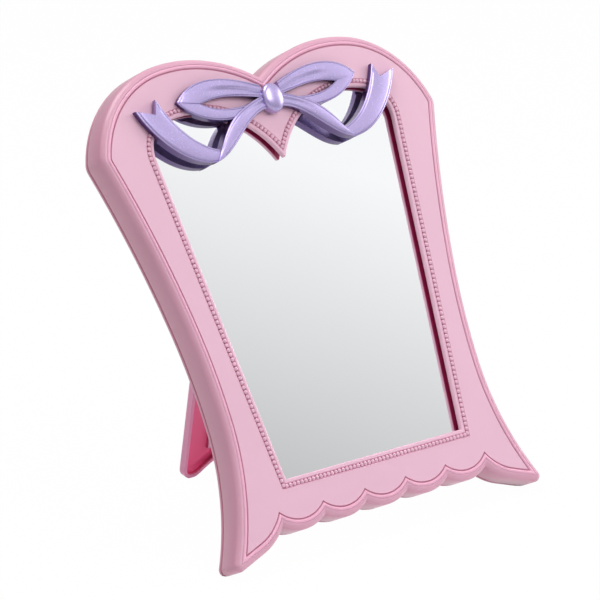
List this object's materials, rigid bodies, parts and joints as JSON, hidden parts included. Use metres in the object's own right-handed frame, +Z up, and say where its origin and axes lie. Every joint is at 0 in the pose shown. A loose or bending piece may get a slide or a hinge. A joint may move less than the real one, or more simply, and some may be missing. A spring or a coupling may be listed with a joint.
{
  "type": "tabletop vanity mirror",
  "caption": "Tabletop mirror in a heart-topped, scallop-footed frame with a ribbon bow, leaning on a hinged easel leg that folds flat",
  "frame": {"origin": "on the table, in the middle between the frame's feet and the leg's feet", "axes": "+X runs across the mirror to the right as seen by its user, +Y runs from the user to the leg, +Z is up"},
  "size_m": [0.2038, 0.1285, 0.2132],
  "materials": {
    "frame_plastic": "satin pink lacquered ABS",
    "mirror_glass": "silvered float glass",
    "backing_board": "plain greyboard",
    "bow_plastic": "pearl lilac lacquer",
    "spring_steel": "pressed spring steel",
    "leg_plastic": "moulded raspberry polypropylene",
    "pin_steel": "zinc-plated steel",
    "washer_nylon": "natural nylon"
  },
  "bodies": {
    "frame": {"front_frame": "frame_plastic", "back_cover": "frame_plastic", "mirror_pane": "mirror_glass", "mirror_board": "backing_board", "bow_ribbon": "bow_plastic", "bow_knot": "bow_plastic", "push_nuts": "spring_steel", "hinge_pin": "pin_steel", "hinge_washers": "washer_nylon", "cover_screws": "pin_steel"},
    "leg": {"easel_leg": "leg_plastic"}
  },
  "joints": [
    {"name": "leg_fold", "type": "hinge", "parent": "frame", "child": "leg", "pos_m": [0, 0.0326, 0.15775], "axis": [1, 0, 0], "range_deg": [-37, 0]}
  ]
}
